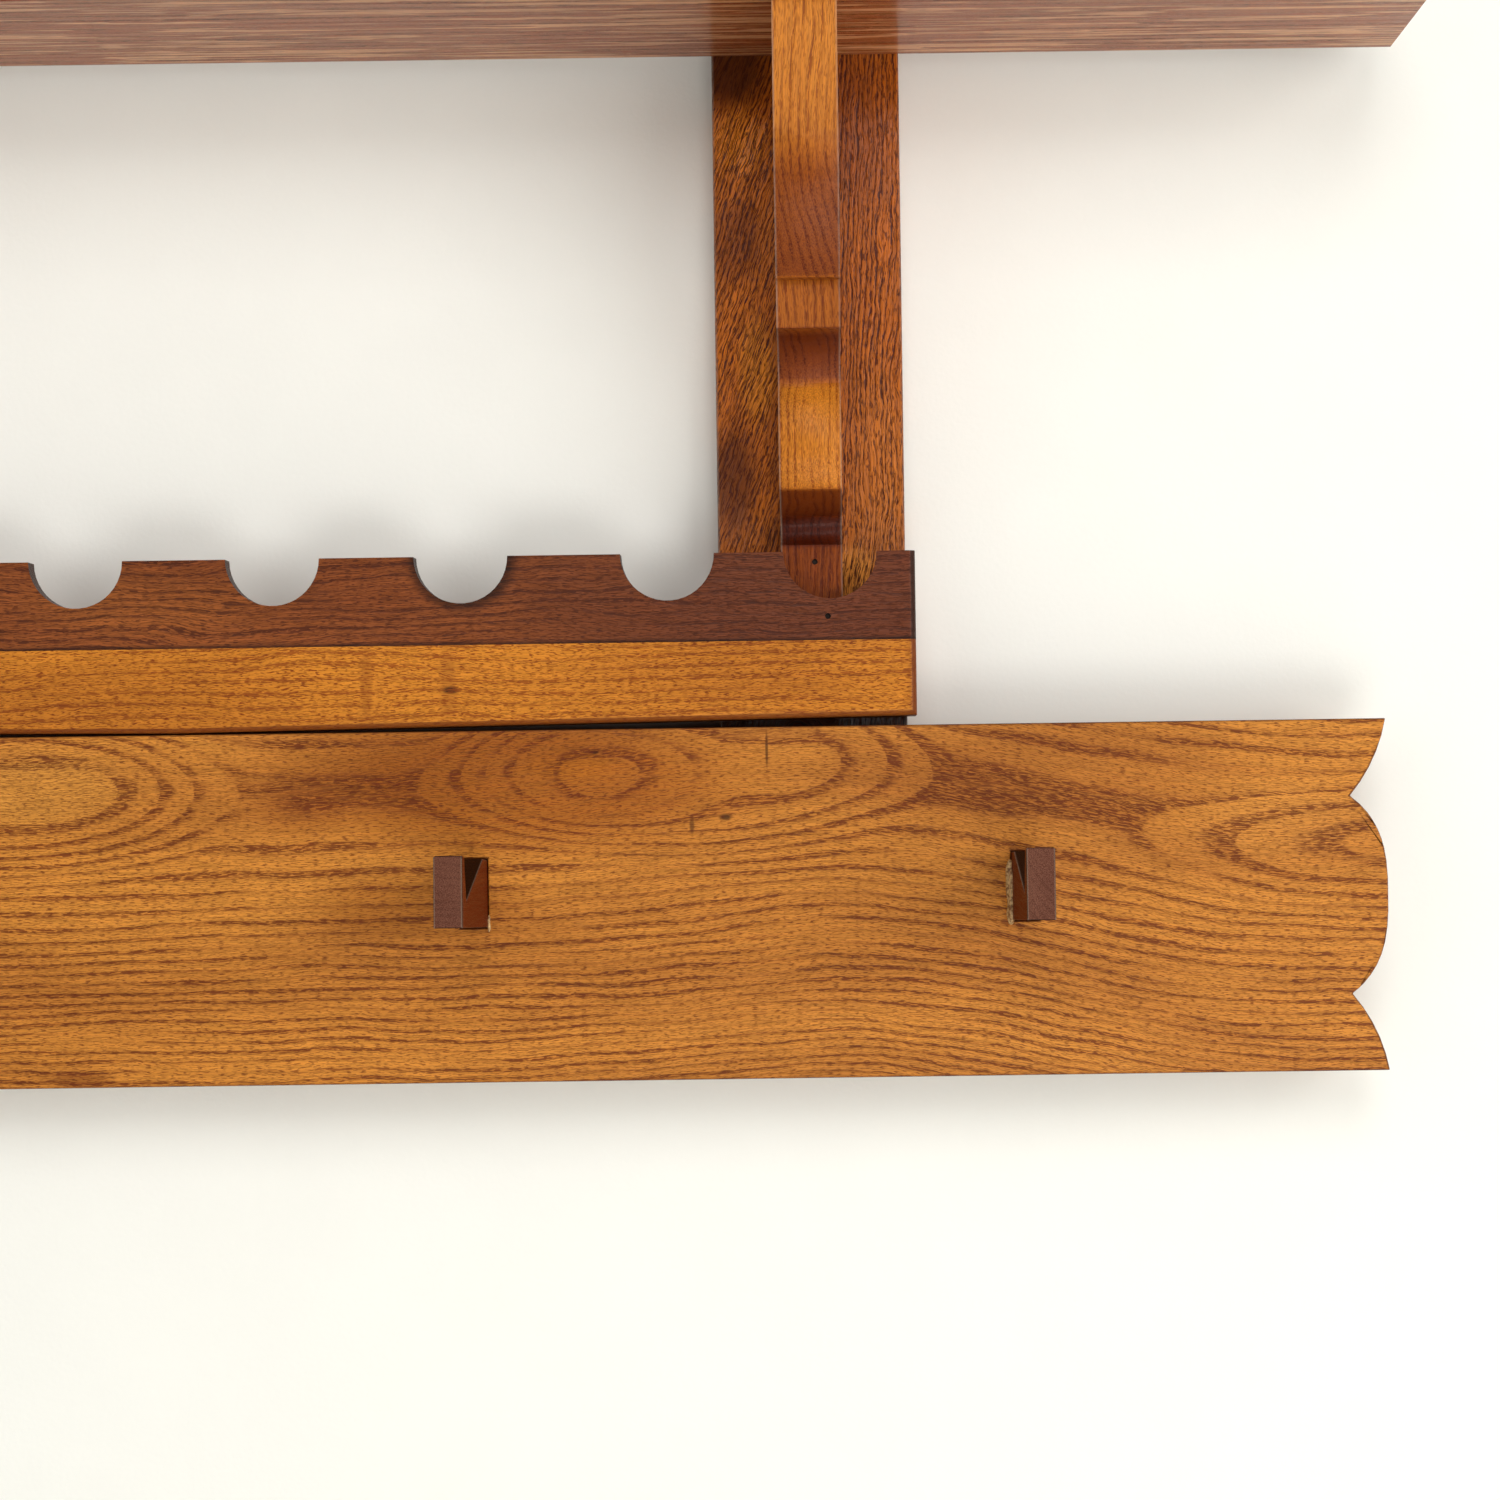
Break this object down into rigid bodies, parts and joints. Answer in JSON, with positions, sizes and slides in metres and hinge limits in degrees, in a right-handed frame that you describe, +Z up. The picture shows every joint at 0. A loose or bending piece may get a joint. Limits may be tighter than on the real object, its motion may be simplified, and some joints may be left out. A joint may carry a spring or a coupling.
{
  "type": "wall cue rack",
  "caption": "Varnished oak wall rack with a shallow shelf on shaped brackets, a notched rail for standing cues and a scalloped board of hooked pegs.",
  "frame": {"origin": "on the wall, halfway between the two hanging holes above the shelf", "axes": "+X along the rack to the viewer's right, -Y out from the wall to the room, +Z up"},
  "size_m": [0.88, 0.1105, 0.411],
  "materials": {
    "golden_oak": "gloss varnish over oak",
    "light_oak": "satin varnish over pale oak",
    "stained_oak": "brown stain and worn varnish",
    "peg_wood": "dark stained hardwood, worn",
    "brass": "aged brass",
    "steel": "dull old steel"
  },
  "bodies": {
    "root": {"shelf_board": "golden_oak", "left_upright": "golden_oak", "right_upright": "golden_oak", "left_bracket": "golden_oak", "right_bracket": "golden_oak", "notched_strip": "stained_oak", "cue_rail": "light_oak", "peg_board": "golden_oak", "peg_1": "peg_wood", "peg_2": "peg_wood", "peg_3": "peg_wood", "peg_4": "peg_wood", "left_hanging_plate": "brass", "right_hanging_plate": "brass", "hanging_plate_screws": "brass", "shelf_screws": "steel", "bracket_screws": "steel", "rail_screws": "steel", "peg_board_screws": "steel", "bracket_nails": "steel", "strip_nails": "steel", "shelf_nails": "steel"}
  },
  "joints": []
}
